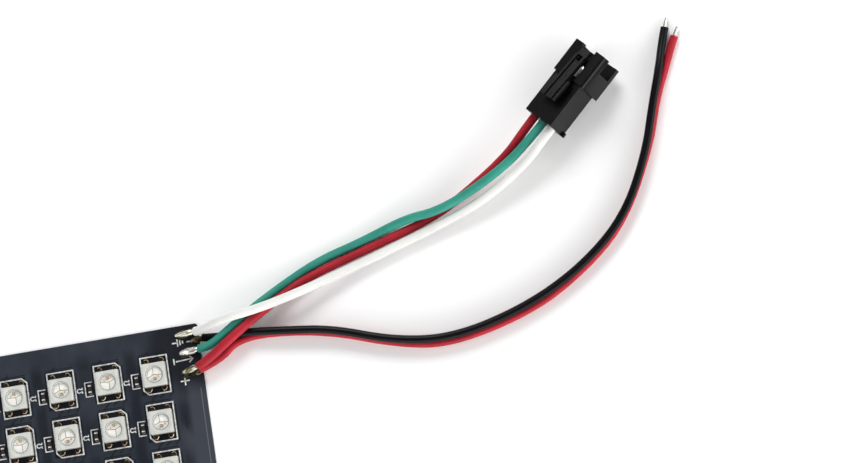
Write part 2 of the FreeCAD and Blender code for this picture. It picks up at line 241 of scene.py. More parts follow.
# Each wire has its plastic, its length in metres and the steps of its route, in millimetres
# outwards, upwards and above the ground from the wire corner.
data_routes = {
    "white": (white_plastic, 0.0906, [
        (0.9, -2.2, 2.9), (5.3, -1.0, 5.25), (13.7, 0.0, 5.1), (21.54, 1.97, 3.65),
        (31.09, 4.82, 2.15), (42.01, 8.1, 1.55), (53.29, 11.42, 1.75), (63.64, 14.97, 2.85),
        (73.2, 20.6, 4.6),
    ]),
    "green": (green_plastic, 0.0901, [
        (2.3, -5.8, 2.7), (6.9, -3.1, 3.65), (11.8, 0.3, 2.6), (17.0, 3.5, 1.3), (27.0, 8.4, 0.95),
        (36.7, 10.8, 1.0), (46.5, 13.9, 1.95), (53.6, 14.1, 3.25), (61.6, 17.1, 4.0),
        (69.6, 21.2, 4.7),
    ]),
    "red": (red_plastic, 0.0908, [
        (1.9, -8.5, 3.6), (6.7, -5.4, 4.4), (11.7, -2.0, 3.65), (19.0, 2.5, 2.05),
        (24.8, 5.4, 1.55), (38.6, 9.4, 1.25), (50.6, 12.8, 0.95), (58.3, 16.3, 1.4),
        (69.2, 22.9, 2.95),
    ]),
}
data_starts = {
    "white": at(-0.3, -1.9, 1.75), "green": at(0.0, -5.6, 1.5), "red": at(-0.5, -9.5, 2.9),
}
data_leads = {}
for i, (word, (plastic, length, route)) in enumerate(data_routes.items()):
    across = WAY_PITCH * (i - 1)
    ends = [housing_place @ Vector((along, across, WAY_LEVEL)) for along in (-LEAD_IN, WAY_DEEP)]
    start = data_starts[word]
    points = [start] + [at(*step) for step in route] + ends
    lead = wire("data_wire_" + word + "_lead", points, DATA_DIA, plastic)
    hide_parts("data_wire_" + word)
    data_leads[word] = (lead, start, length)

power_routes = {
    "black": (black_plastic, 0.1385, [
        (4.3, -3.8, 1.0), (10.0, -3.9, 2.45), (18.2, -5.0, 2.9), (28.1, -6.3, 2.85),
        (40.6, -10.9, 2.7), (53.0, -12.4, 2.65), (68.4, -8.7, 2.65), (81.0, -2.5, 2.65),
        (91.5, 6.4, 2.7), (97.9, 18.8, 2.75), (100.9, 28.8, 2.85), (103.3, 35.8, 2.75),
        (104.6, 41.2, 1.3), (105.7, 44.5, LOW),
    ]),
    "red": (red_plastic, 0.139, [
        (4.3, -8.35, LOW), (7.4, -5.25, LOW), (14.6, -4.5, LOW), (27.5, -6.4, LOW),
        (40.8, -11.3, LOW), (52.0, -13.3, LOW), (69.4, -9.3, LOW), (80.7, -3.1, LOW),
        (90.8, 5.3, LOW), (98.7, 20.2, LOW), (101.6, 30.0, LOW), (104.9, 37.0, LOW),
        (106.5, 40.7, LOW), (107.4, 42.4, LOW),
    ]),
}
power_starts = {"black": at(0.8, -3.35, 0.95), "red": at(-0.6, -9.9, 1.17)}
wire_ends = {}
power_leads = {}
for word, (plastic, length, route) in power_routes.items():
    start = power_starts[word]
    points = [start] + [at(*step) for step in route]
    wire_ends[word] = (points[-2], points[-1])
    lead = wire("power_wire_" + word + "_lead", points, POWER_DIA, plastic)
    power_leads[word] = (lead, start, length)


# Tinned ends: the power wires' bare strands, twisted and dipped in solder so that they hold
# together, about a wire's width long or a little more.
TIP_LONG = 2.4
CORE_SHARE = 0.9
START_INSIDE = 1
STRAND_DIA = 0.29
STRANDS = 6
STRAND_STEPS = 14
TWIST_TURNS = 0.8
SPREAD, TAPER = 0.95, 0.45
UNEVEN = 0.12


def shape(name, build, material, smooth_below=35):
    """A new object whose mesh, in millimetres, is made by a function that fills a bmesh."""
    mesh = bpy.data.meshes.new(name)
    mesh.materials.append(material)
    filled = bmesh.new()
    build(filled)
    bmesh.ops.scale(filled, vec=(MM, MM, MM), verts=filled.verts)
    filled.to_mesh(mesh)
    filled.free()
    mesh.shade_smooth()
    mesh.set_sharp_from_angle(angle=math.radians(smooth_below))
    thing = bpy.data.objects.new(name, mesh)
    bpy.context.scene.collection.objects.link(thing)
    return thing


def loft(filled, rings, closed_ends=True):
    """Skin rings with the same count of places, the first one clockwise as seen from outside."""
    made = [[filled.verts.new(place) for place in ring] for ring in rings]
    for low, high in zip(made, made[1:]):
        for i in range(len(low)):
            j = (i + 1) % len(low)
            filled.faces.new((low[i], low[j], high[j], high[i]))
    if closed_ends:
        filled.faces.new(reversed(made[0]))
        filled.faces.new(made[-1])
    return made


def rod(filled, path, radius, sides=6):
    """A round bar along a path, with its section square to the path."""
    path = [Vector(place) for place in path]
    side = (path[1] - path[0]).orthogonal().normalized()
    rings = []
    for i, place in enumerate(path):
        along = (path[min(i + 1, len(path) - 1)] - path[max(i - 1, 0)]).normalized()
        side = (side - along * side.dot(along)).normalized()
        other = along.cross(side)
        ring = [2 * math.pi * k / sides for k in range(sides)]
        rings.append([place + radius * (math.cos(a) * side + math.sin(a) * other) for a in ring])
    loft(filled, rings)


def strands(before, end):
    """Build the twisted bundle that leaves a wire at its end, round a core of solder."""
    axis = (end - before).normalized()
    side = Vector((0, 0, 1)).cross(axis).normalized()
    rise = axis.cross(side)

    def build(filled):
        core = [end - axis * START_INSIDE, end + axis * TIP_LONG * CORE_SHARE]
        rod(filled, core, STRAND_DIA * 0.6, 8)
        for k in range(STRANDS):
            path = []
            for step in range(STRAND_STEPS + 1):
                share = step / STRAND_STEPS
                angle = 2 * math.pi * (k / STRANDS + TWIST_TURNS * share)
                off = math.cos(angle) * side + math.sin(angle) * rise
                away = STRAND_DIA * (SPREAD - TAPER * share ** 4)
                along = share * (TIP_LONG + START_INSIDE - UNEVEN * (k % 3)) - START_INSIDE
                path.append(end + axis * along + away * off)
            rod(filled, path, STRAND_DIA / 2)
    return build


tin, place = finish("tinned copper", Metallic=1)
bright = place.speckle(0.5, 3, 0.6).fade(0.35, 0.65)
vary(
    tin, Base_Color=bright.mix(colour(0.38, 0.37, 0.34), colour(0.74, 0.73, 0.68)),
    Roughness=0.2 * place.speckle(0.4) + 0.25,
)
for word, (lead, start, length) in power_leads.items():
    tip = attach(shape("tinned_strands_" + word, strands(*wire_ends[word]), tin, 60), "root")
    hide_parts("tinned_tip_" + word)
    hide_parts("power_wire_" + word)
    start * MM


# Board: a flexible sheet of polyimide with a copper layer, under a satin black solder mask. The
# copper pours look lighter than the gaps round them, painted shade darkens the mask round each
# LED and capacitor, it is darker round the wire pads, and a painted sheen lightens the rim.
LED_SIDE = 5.0
led_first, led_last = (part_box("led_housings_%d" % n) for n in (1, 8))
led_x = (led_last[0].x + led_last[1].x) / 2 / MM
led_y = led_last[1].y / MM - LED_SIDE / 2
COLUMNS = 8
PITCH = (led_last[0].x - led_first[0].x) / MM / (COLUMNS - 1)
ROWS = round((led_last[1].y - led_last[0].y) / MM / PITCH + 0.5)
BOARD_TOP = corner.z

# One LED's cell, from its middle: its frame of print, the patch of painted shade round the package,
# the capacitor with its frame, and the clearances between the pours as lines from end to end.
PRINT_WIDE, PRINT_TALL = 5.9, 8.1
PACKAGE_SHADE_AT = (-0.34, 0.2)
CAP_AT = Vector((-4.0, -0.7))
CAP_FRAME = (1.8, 3.2)
CAP_FRAME_AT = CAP_AT + Vector((-0.28, 0))
CLEARANCES = (
    (3.25, -4.1, 3.25, 3.2), (3.25, -4.1, 2.4, -4.9), (-0.2, -4.1, -1.3, -5.0),
    (-1.0, 5.0, -1.6, 4.5), (1.2, -4.2, 0.4, -5.0),
)
FEED_LINE = (-3.0, 4.55, 2.6, 4.55)
CELL_EDGE = 0.3


def from_led(place):
    """Where a position lies from the middle of the nearest LED, in millimetres."""
    off_x, off_y = place.axis("X") - led_x, place.axis("Y") - led_y
    return [off.maths("WRAP", off, PITCH / 2, -PITCH / 2) for off in (off_x, off_y)]


mask_finish, place = finish("solder mask", Specular_IOR_Level=0.22)
across, along = place.axis("X"), place.axis("Y")
from_led_x, from_led_y = from_led(place)
from_corner_x, from_corner_y = across - corner.x, along - corner.y
half_grid = Vector((COLUMNS, ROWS)) * PITCH / 2
in_columns = abs(across).fade(half_grid.x + CELL_EDGE, half_grid.x)
on_grid = in_columns * abs(along).fade(half_grid.y + CELL_EDGE, half_grid.y)


def within(x, y, wide, tall, soft):
    """1 inside an upright rectangle of the LED cell, with a soft edge."""
    sideways = abs(from_led_x - x).fade(wide / 2 + soft, wide / 2 - soft)
    return sideways * abs(from_led_y - y).fade(tall / 2 + soft, tall / 2 - soft)


def groove(x0, y0, x1, y1, width=0.22):
    """1 on a straight line of the LED cell: a clearance between two copper pours."""
    run, rise = x1 - x0, y1 - y0
    dot = ((from_led_x - x0) * run + (from_led_y - y0) * rise) / (run * run + rise * rise)
    share = dot.maths("MINIMUM", dot.maths("MAXIMUM", dot, 0.0), 1.0)
    off_x, off_y = from_led_x - x0 - share * run, from_led_y - y0 - share * rise
    return off_x.maths("SQRT", off_x * off_x + off_y * off_y).fade(width, width / 3)


package_shade = within(*PACKAGE_SHADE_AT, PRINT_WIDE, PRINT_TALL, 0.15)
cap_shade = within(*CAP_FRAME_AT, *CAP_FRAME, 0.12)
grooves = sum(groove(*line) for line in CLEARANCES) + groove(*FEED_LINE, 0.18)

# Between the columns the pour is darker in places. The mask is darker round the wire pads, and the
# rest of the rim is painted lighter as a sheen, with a fine bright line along the edge.
between = abs(from_led_x).fade(3.0, 4.6) * place.speckle(9, 1).fade(0.3, 0.6)
between = between * abs(along).fade(half_grid.y + 2.5, half_grid.y - 1.5)
near_pads = (from_corner_x + 10.5 - from_corner_y * 0.25).fade(-2.5, 3.0)
near_pads = near_pads * (from_corner_y + 12.5).fade(-3, 3.5)
# The lighter tone towards the rim is a painted sheen.
sheen_towards_edge = (from_corner_x + 7.5).fade(-2.0, 4.0) * (1 - near_pads)
rim_line = abs(from_corner_x + 1.05).fade(0.14, 0.04) * (from_corner_y + 13).fade(0, -1)
cloud = place.speckle(7, 3)
pour = cloud.fade(0.3, 0.75).mix(colour(0.018, 0.023, 0.033), colour(0.027, 0.033, 0.045))
pour = (sheen_towards_edge * 0.85).mix(pour, colour(0.04, 0.045, 0.057))
pour = (between * 0.8).mix(pour, colour(0.0055, 0.007, 0.013))
pour = (near_pads * 0.85).mix(pour, colour(0.0045, 0.0055, 0.01))
pour = (rim_line * 0.7).mix(pour, colour(0.13, 0.14, 0.15))
# Inside the print frames round each LED and capacitor the mask is painted near black as shade,
# together with the darker clearances.
painted_shade_under_parts = package_shade.maths("MINIMUM", package_shade + cap_shade, 1.0) * on_grid
dark = painted_shade_under_parts.maths("MINIMUM", painted_shade_under_parts + grooves * on_grid * 0.75, 1.0)
pour = dark.mix(pour, colour(0.003, 0.003, 0.008))
orange_peel = place.speckle(0.35, 2)
vary(
    mask_finish, Base_Color=pour, Roughness=0.2 * cloud + 0.36,
    Normal=(orange_peel * 0.3 - dark * 0.5).relief(0.03, 0.6),
)
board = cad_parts["flex_board"]
board.data.materials.clear()
board.data.materials.append(mask_finish)


# White print: epoxy ink, screened on the mask. It frames every LED, with one corner cut to show
# which way round it goes, and every capacitor, and it marks the wire pads.
PRINT_HIGH = 0.02
LINE = 0.27
THIN_LINE = 0.22
PIN_CORNER = 1.0
MARK_AT = CAP_AT + Vector((-2.26, 0))

# What lies on the board starts a hair below its face, so that no gap shows under it.
SUNK = 0.01

# The tree puts a shape on every LED of the grid, turned by half a turn in every other column.
TREE_INPUTS = {
    "Columns": "Int", "Rows": "Int", "Pitch": "Float", "Half turn": "Float", "Finish": "Material",
}
tree = bpy.data.node_groups.new("spread over the LED grid", "GeometryNodeTree")
tree.interface.new_socket("Geometry", in_out="INPUT", socket_type="NodeSocketGeometry")
for label, kind in TREE_INPUTS.items():
    tree.interface.new_socket(label, in_out="INPUT", socket_type="NodeSocket" + kind)
tree.interface.new_socket("Geometry", in_out="OUTPUT", socket_type="NodeSocketGeometry")
entry = tree.nodes.new("NodeGroupInput")
given = {socket.name: Wired(socket) for socket in entry.outputs if socket.name}
long_side = (given["Columns"] - 1) * given["Pitch"]
points = given["Pitch"].node("GeometryNodeMeshGrid", None, {
    "Size X": long_side, "Size Y": (given["Rows"] - 1) * given["Pitch"],
    "Vertices X": given["Columns"], "Vertices Y": given["Rows"],
})
where = points.node("GeometryNodeInputPosition")
column = where.node("ShaderNodeSeparateXYZ", None, {0: where}, "X") + long_side / 2
column = column.maths("ROUND", column / given["Pitch"])
turn = (1 - column.maths("MODULO", column, 2.0)) * given["Half turn"]
turn = turn.node("FunctionNodeAxisAngleToRotation", None, {"Axis": (0, 0, 1), "Angle": turn})
spread = points.node("GeometryNodeInstanceOnPoints", None, {
    "Points": points, "Instance": given["Geometry"], "Rotation": turn,
})
spread = spread.node("GeometryNodeRealizeInstances", None, {0: spread})
spread = spread.node("GeometryNodeSetMaterial", None, {
    "Geometry": spread, "Material": given["Finish"],
})
tree.links.new(spread.socket, tree.nodes.new("NodeGroupOutput").inputs[0])


def on_every_led(name, build, material, turned=True, smooth_below=35):
    """A shape in millimetres from its LED's middle, put on the whole grid and baked."""
    thing = shape(name, build, material, smooth_below)
    spreader = thing.modifiers.new("grid", "NODES")
    spreader.node_group = tree
    wanted = {
        "Columns": COLUMNS, "Rows": ROWS, "Pitch": PITCH * MM,
        "Half turn": math.pi if turned else 0.0, "Finish": material,
    }
    for socket in tree.interface.items_tree:
        if socket.in_out == "INPUT" and socket.name in wanted:
            spreader[socket.identifier] = wanted[socket.name]
    return bake(thing)


def bake(thing):
    """Make what an object's modifiers give its own plain mesh, and let it ride on the board."""
    bpy.context.view_layer.update()
    graph = bpy.context.evaluated_depsgraph_get()
    mesh = bpy.data.meshes.new_from_object(thing.evaluated_get(graph))
    thing.modifiers.clear()
    thing.data = mesh
    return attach(thing, "root")


def printed(filled, path, width, closed=False):
    """A raised strip of ink along a path on the board, mitred at its corners."""
    path = [Vector(place) for place in path]
    count = len(path)
    rings = []
    for i, place in enumerate(path):
        before = path[i - 1] if closed or i else path[i] * 2 - path[i + 1]
        after = path[(i + 1) % count] if closed or i < count - 1 else path[i] * 2 - path[i - 1]
        first, second = (place - before).normalized(), (after - place).normalized()
        off = Vector((-(first.y + second.y), first.x + second.x))
        off = off.normalized() * (width / 2) / max(0.5, math.cos(first.angle(second) / 2))
        left, right = place + off, place - off
        rings.append([
            (*left, BOARD_TOP - SUNK), (*left, BOARD_TOP + PRINT_HIGH),
            (*right, BOARD_TOP + PRINT_HIGH), (*right, BOARD_TOP - SUNK),
        ])
    if closed:
        rings.append(rings[0])
    made = loft(filled, rings, not closed)
    if closed:
        bmesh.ops.remove_doubles(filled, verts=made[0] + made[-1], dist=0.001)


def led_frame(filled):
    """The package's outline, with its first-pin corner cut off."""
    x, y = PRINT_WIDE / 2 - LINE / 2, PRINT_TALL / 2 - LINE / 2
    corners = [(-x + PIN_CORNER, -y), (x, -y), (x, y), (-x, y), (-x, -y + PIN_CORNER)]
    printed(filled, corners, LINE, True)


def cap_frame(filled):
    """The capacitor's box and a small arch that stands for its part mark."""
    x, y = CAP_FRAME[0] / 2 - THIN_LINE / 2, CAP_FRAME[1] / 2 - THIN_LINE / 2
    box = [(x, -y), (-x, -y), (-x, y), (x, y)]
    printed(filled, [CAP_FRAME_AT + Vector(place) for place in box], THIN_LINE)
    arch = [(-0.6, -0.55), (-0.25, -0.5)]
    arch += [(-0.42 * math.cos(a), 0.12 + 0.45 * math.sin(a)) for a in (-0.7, 0, 0.8, math.pi / 2)]
    arch += [(-x, y) for x, y in reversed(arch[:-1])]
    printed(filled, [MARK_AT + Vector((-y, x)) for x, y in arch], THIN_LINE)


def pad_marks(filled):
    """Plain signs beside the wire pads: ground, signal direction and plus."""
    middles = ((-3.9, -3.55), (-3.6, -7.25), (-4.1, -11.6))
    ground, signal, plus = (at(*middle, 0).xy for middle in middles)

    def stroke(middle, *places):
        printed(filled, [middle + Vector(place) for place in places], LINE)

    stroke(ground, (-1.9, 0.1), (-0.75, 0.1))
    for step, half in ((-0.75, 0.8), (-0.2, 0.55), (0.35, 0.3)):
        stroke(ground, (step, -half + 0.1), (step, half + 0.1))
    stroke(ground, (1.2, 0.0), (2.0, 0.0))
    stroke(signal, (-1.9, -0.1), (1.5, 0.1))
    stroke(signal, (0.9, 0.75), (1.75, 0.1), (0.95, -0.6))
    stroke(signal, (-2.3, 0.6), (-2.3, -0.75))
    stroke(plus, (-0.95, 0), (0.95, 0))
    stroke(plus, (0, -0.95), (0, 0.95))


ink, place = finish("white ink", Specular_IOR_Level=0.3)
wear = place.speckle(0.5, 4)
vary(
    ink, Base_Color=wear.fade(0.35, 0.62).mix(colour(0.42, 0.44, 0.43), colour(0.7, 0.72, 0.69)),
    Roughness=0.2 * wear + 0.5, Normal=wear.relief(0.01, 0.5),
)
on_every_led("led_frame_print", led_frame, ink)
on_every_led("capacitor_frame_print", cap_frame, ink, turned=False)
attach(shape("pad_mark_print", pad_marks, ink), "root")


# LED packages: a square block of white moulded plastic with a round cup, in which a controller
# chip and three dies sit on silvered pads under clear silicone.
PACKAGE_LOW = BOARD_TOP + 0.15
PACKAGE_TOP = BOARD_TOP + 1.6
TOP_SIDE = 4.82
CUP_RIM, CUP_FLOOR = 1.85, 1.55
CUP_BOTTOM = PACKAGE_TOP - 0.7
CORNERS = ((-1, -1), (1, -1), (1, 1), (-1, 1))

# The directions in which the package's rings have a place, three of them close at each corner.
CORNER_STEP = 2.2
CORNER_CUT = 0.09
STEPS_BETWEEN = 8
around = []
for quarter in range(4):
    middle = 45 + 90 * quarter
    around += [middle - CORNER_STEP, middle, middle + CORNER_STEP]
    gap = (90 - 2 * CORNER_STEP) / STEPS_BETWEEN
    around += [middle + CORNER_STEP + gap * step for step in range(1, STEPS_BETWEEN)]
around = [math.radians(angle) for angle in around]


def square_ring(half, z):
    """Places round a square whose corners are just rounded."""
    ring = []
    for i, angle in enumerate(around):
        far = half / max(abs(math.cos(angle)), abs(math.sin(angle)))
        if i % (STEPS_BETWEEN + 2) == 1:
            far -= CORNER_CUT
        ring.append(Vector((far * math.cos(angle), far * math.sin(angle), z)))
    return ring


def round_ring(radius, z):
    """Places round a circle, at the same angles as the square's."""
    return [Vector((radius * math.cos(angle), radius * math.sin(angle), z)) for angle in around]


def package(filled):
    """The moulded block with its draft, its softened edges and its tapered cup."""
    low_half, top_half = LED_SIDE / 2, TOP_SIDE / 2
    loft(filled, [
        square_ring(low_half - 0.06, PACKAGE_LOW),
        square_ring(low_half, PACKAGE_LOW + 0.06),
        square_ring(top_half, PACKAGE_TOP - 0.07),
        square_ring(top_half - 0.02, PACKAGE_TOP - 0.02),
        square_ring(top_half - 0.07, PACKAGE_TOP),
        round_ring(CUP_RIM + 0.05, PACKAGE_TOP),
        round_ring(CUP_RIM, PACKAGE_TOP - 0.03),
        round_ring(CUP_FLOOR, CUP_BOTTOM),
    ])


def filling(filled):
    """Clear silicone, level with the package's top and drawn up a little at the rim."""
    profile = (
        (CUP_RIM - 0.01, 0.035), (CUP_RIM - 0.12, 0.06), (CUP_RIM * 0.6, 0.08),
        (CUP_RIM * 0.2, 0.085),
    )
    made = loft(filled, [round_ring(radius, PACKAGE_TOP - sag) for radius, sag in profile], False)
    filled.faces.new(made[-1])


# The gaps between the lobes meet at the junction, a little off the cup's middle.
LOBE_RADIUS = 1.52
LOBE_STEPS = 10
LOBE_LEVELS = (CUP_BOTTOM - 0.02, CUP_BOTTOM + 0.05)
JUNCTION = Vector((-0.28, -0.02))
JUNCTION_GAP = 0.09
SPLITS = [math.radians(angle) for angle in (-7, 102, 200, 353)]
HALF_SPLIT = 0.045


def silvered_pads(filled):
    """Three lobes of the lead frame, with narrow gaps of plastic between them."""
    for start, end in zip(SPLITS, SPLITS[1:]):
        start, end = start + HALF_SPLIT, end - HALF_SPLIT
        arc = [start + (end - start) * step / LOBE_STEPS for step in range(LOBE_STEPS + 1)]
        bisector = (start + end) / 2
        inner = JUNCTION + JUNCTION_GAP * Vector((math.cos(bisector), math.sin(bisector)))
        edge = [inner] + [LOBE_RADIUS * Vector((math.cos(a), math.sin(a))) for a in arc]
        loft(filled, [[(*place, z) for place in edge] for z in LOBE_LEVELS])


# Each chip has its middle's place in the cup and its two sides.
CHIP_LOW = CUP_BOTTOM + 0.04
CHIP_HIGH = 0.12
CHIP_EDGE = 0.02
CHIPS = {
    "controller_chips": ((0.02, -0.85, 0.72, 0.66),),
    "red_dies": ((0.72, -0.5, 0.34, 0.34),),
    "pale_dies": ((-0.62, -0.75, 0.3, 0.26), (-0.45, -1.15, 0.26, 0.22)),
}


def small_blocks(places, low, high, edge):
    """Build blocks of given middles and sides, with their top edges broken."""
    def build(filled):
        for x, y, wide, tall in places:
            rings = []
            for z, inset in ((low, 0), (high - edge, 0), (high, edge)):
                half_x, half_y = wide / 2 - inset, tall / 2 - inset
                rings.append([(x + half_x * right, y + half_y * up, z) for right, up in CORNERS])
            loft(filled, rings)
    return build


BOND_DIA = 0.044
BOND_LOW, BOND_RISE = CUP_BOTTOM + 0.17, 0.18
BOND_START = (0.02, -0.85)
BOND_ENDS = ((0.68, -0.5), (-0.62, -0.75), (-0.45, -1.15), (0.9, 0.3), (-0.85, 0.75))
BOND_STEPS = 5


def bond_wires(filled):
    """Hair-thin gold wires that arch from the controller to the dies and pads."""
    from_x, from_y = BOND_START
    for x, y in BOND_ENDS:
        path = []
        for step in range(BOND_STEPS + 1):
            share = step / BOND_STEPS
            level = BOND_LOW + BOND_RISE * math.sin(math.pi * share)
            path.append((from_x + (x - from_x) * share, from_y + (y - from_y) * share, level))
        rod(filled, path, BOND_DIA / 2, 4)


white_moulding, place = finish("white moulding", Specular_IOR_Level=0.35)
mottle = place.speckle(0.8, 3)
moulded = mottle.fade(0.3, 0.7).mix(colour(0.48, 0.49, 0.455), colour(0.54, 0.55, 0.515))
# The cup's floor, seen only in the narrow gaps between the lobes, is painted dark grey as shade in
# that recess.
cup_floor_shade = place.axis("Z").fade(CUP_BOTTOM + 0.12, CUP_BOTTOM + 0.03)
vary(
    white_moulding, Base_Color=cup_floor_shade.mix(moulded, colour(0.22, 0.215, 0.2)),
    Roughness=0.15 * mottle + 0.4, Normal=place.speckle(0.15, 2).relief(0.008, 0.5),
)
bodies = on_every_led("led_packages", package, white_moulding)
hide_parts(*["led_housings_%d" % (n + 1) for n in range(COLUMNS)])

silicone, place = finish("clear silicone", Specular_IOR_Level=0.35, Roughness=0.18)
off_x, off_y = from_led(place)
off_middle = off_x.maths("SQRT", off_x * off_x + off_y * off_y)
# The dark ring just inside the rim is painted shade of the cup's wall.
rim_shade_ring = abs(off_middle - (CUP_RIM - 0.06)).fade(0.13, 0.04)
vary(
    silicone, Base_Color=rim_shade_ring.mix(colour(0.8, 0.8, 0.78), colour(0.16, 0.16, 0.17)),
    Alpha=rim_shade_ring * 0.55 + 0.06,
)
on_every_led("silicone_fillings", filling, silicone, smooth_below=60)

silvered, place = finish("silvered lead frame", Specular_IOR_Level=0.5)
stain = place.speckle(0.9, 2, 0.4)
vary(
    silvered, Roughness=0.3 * stain + 0.25,
    Base_Color=stain.fade(0.3, 0.7).mix(colour(0.9, 0.89, 0.83), colour(0.96, 0.95, 0.91)),
)
on_every_led("silvered_pads", silvered_pads, silvered)

CHIP_COLOURS = {
    "controller_chips": (colour(0.26, 0.2, 0.15), colour(0.5, 0.44, 0.35)),
    "red_dies": (colour(0.5, 0.33, 0.24), colour(0.66, 0.48, 0.36)),
    "pale_dies": (colour(0.62, 0.55, 0.36), colour(0.75, 0.7, 0.5)),
}
for name, (dark_side, light_side) in CHIP_COLOURS.items():
    crystal, place = finish(name.replace("_", " "), Specular_IOR_Level=0.5)
    cells = place.speckle(0.12, 2)
    vary(
        crystal, Base_Color=cells.fade(0.35, 0.65).mix(dark_side, light_side),
        Roughness=0.3 * cells + 0.2,
    )
    blocks = small_blocks(CHIPS[name], CHIP_LOW, CHIP_LOW + CHIP_HIGH, CHIP_EDGE)
    on_every_led(name, blocks, crystal)
gold, place = finish("gold wire", Metallic=1)
vary(
    gold, Base_Color=place.speckle(0.3).mix(colour(0.85, 0.6, 0.25), colour(0.95, 0.75, 0.4)),
    Roughness=0.2 * place.speckle(0.1) + 0.2,
)
on_every_led("bond_wires", bond_wires, gold)


# Package leads: flat plated strips, bent under the block and soldered to the board. The solder
# climbs their ends as a curved rim round a dark hollow, bright with a painted glint on the lit
# side.
LEAD_AT = 1.6
LEAD_HALF = 0.6
LEAD_START, LEAD_END = 2.2, 3.2
LEAD_TOP = BOARD_TOP + 0.15
END_STEPS = 6
DISH_AT = 2.75
RIM_DIA = 0.14
RIM_WIDE, RIM_LONG, RIM_RISE = 0.56, 0.72, 0.08
RIM_STEPS = 8


def each_lead():
    """The sideways place and the outward direction of a package's four leads."""
    return [(side * LEAD_AT, end) for side in (-1, 1) for end in (-1, 1)]


def lead_feet(filled):
    """Flat strips with a rounded end and a shallow dished middle."""
    for x, end in each_lead():
        arc = [math.pi * step / END_STEPS for step in range(END_STEPS + 1)]
        tip = [(x + LEAD_HALF * math.cos(a), LEAD_END - 0.3 + 0.55 * math.sin(a)) for a in arc]
        edge = [(x - LEAD_HALF, LEAD_START), (x + LEAD_HALF, LEAD_START)] + tip
        if end < 0:
            edge = [(x, -y) for x, y in reversed(edge)]
        middle = Vector((x, end * DISH_AT))
        rings = [[(*place, z) for place in edge] for z in (BOARD_TOP, LEAD_TOP - 0.03)]
        for shrink, z in ((0.9, LEAD_TOP), (0.45, LEAD_TOP - 0.06)):
            rings.append([(*(middle + (Vector(place) - middle) * shrink), z) for place in edge])
        loft(filled, rings)


def lead_rims(filled):
    """The solder's edge, an arch round the lit side of each lead's end, bright as a painted glint.
    """
    for x, end in each_lead():
        path = []
        for step in range(RIM_STEPS + 1):
            angle = math.pi * (0.04 + 0.66 * step / RIM_STEPS)
            y = DISH_AT + RIM_LONG * math.sin(angle)
            level = LEAD_TOP + 0.02 + RIM_RISE * math.sin(angle)
            path.append((x + RIM_WIDE * math.cos(angle), end * y, level))
        rod(filled, path, RIM_DIA / 2, 5)


bronze, place = finish("lead under flux", Metallic=0.7)
smoke = place.speckle(0.45, 3, 0.5)
vary(
    bronze, Roughness=0.2 * smoke + 0.2,
    Base_Color=smoke.fade(0.4, 0.66).mix(colour(0.022, 0.018, 0.012), colour(0.11, 0.085, 0.05)),
)
feet = on_every_led("lead_feet", lead_feet, bronze)
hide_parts(*["led_leads_%d" % (n + 1) for n in range(COLUMNS)])
# The rims' bright brass colour is a painted glint, only on the lit side of each lead.
brass, place = finish("painted glint on lead edge", Metallic=0.45)
painted_glint = place.speckle(1.1, 1)
vary(
    brass, Base_Color=painted_glint.fade(0.36, 0.6).mix(colour(0.42, 0.28, 0.15), colour(0.78, 0.58, 0.38)),
    Roughness=0.2 * painted_glint + 0.18,
)
on_every_led("lead_rims", lead_rims, brass, turned=False)


# Capacitors: a small fired ceramic block between two tinned ends, one left of every LED, held by
# a fillet of solder at each end.
CAP_LONG, CAP_WIDE, CAP_HIGH = 1.6, 0.8, 0.7
CAP_END = 0.32
CAP_EDGE = 0.04

# The cap's half sides and height, as shares of its size, and the fillet's places out and up.
CAP_SECTIONS = ((0.5, 0.5, 0), (0.5, 0.5, 0.8), (0.46, 0.45, 0.88), (0.3, 0.34, 1))
FILLET = ((0, 0), (0.4, 0), (0.22, 0.14), (0.08, 0.34), (0, 0.5))


def cap_bodies(filled):
    """The ceramic middle, with its edges broken."""
    block = (CAP_AT.x, CAP_AT.y, CAP_WIDE - 0.04, CAP_LONG - 1.6 * CAP_END)
    small_blocks([block], BOARD_TOP, BOARD_TOP + CAP_HIGH - 0.03, CAP_EDGE)(filled)


def cap_ends(filled):
    """The tinned caps and the solder that slopes from them to the board."""
    for end in (-1, 1):
        middle = CAP_AT.y + end * (CAP_LONG - CAP_END) / 2
        rings = []
        for share_x, share_y, high in CAP_SECTIONS:
            x, y, z = CAP_WIDE * share_x, CAP_END * share_y, BOARD_TOP + CAP_HIGH * high
            rings.append([(CAP_AT.x + x * right, middle + y * up, z) for right, up in CORNERS])
        loft(filled, rings)
        face = CAP_AT.y + end * CAP_LONG / 2
        slope = [(face + end * out, BOARD_TOP + high) for out, high in FILLET]
        if end < 0:
            slope.reverse()
        sides = [CAP_AT.x + CAP_WIDE / 2, CAP_AT.x - CAP_WIDE / 2]
        loft(filled, [[(x, *place) for place in slope] for x in sides])


ceramic, place = finish("fired ceramic", Specular_IOR_Level=0.4)
fleck = place.speckle(0.2, 2)
vary(
    ceramic, Roughness=0.2 * fleck + 0.4,
    Base_Color=fleck.fade(0.3, 0.7).mix(colour(0.009, 0.008, 0.008), colour(0.022, 0.018, 0.015)),
)
ceramics = on_every_led("capacitor_bodies", cap_bodies, ceramic, turned=False)
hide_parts(*["capacitors_%d" % (n + 1) for n in range(COLUMNS)])
tinned_end, place = finish("tinned capacitor end", Metallic=0.6)
dull = place.speckle(0.3, 3, 0.5)
# The tinned ends are painted dark as shade, with a painted glint along their tops.
painted_top_glint = place.axis("Z").fade(BOARD_TOP + 0.6, BOARD_TOP + 0.68) * dull.fade(0.2, 0.45)
vary(
    tinned_end, Base_Color=painted_top_glint.mix(colour(0.05, 0.047, 0.045), colour(0.9, 0.89, 0.86)),
    Roughness=0.25 * dull + 0.25,
)
on_every_led("capacitor_ends", cap_ends, tinned_end, turned=False)


# Solder joints: each wire's bare end lies on a tinned pad in a long lump of solder, drawn out to
# a point and stained with brown flux.
LUMP_STEPS, LUMP_SIDES = 14, 20
UNEVENNESS = 0.14


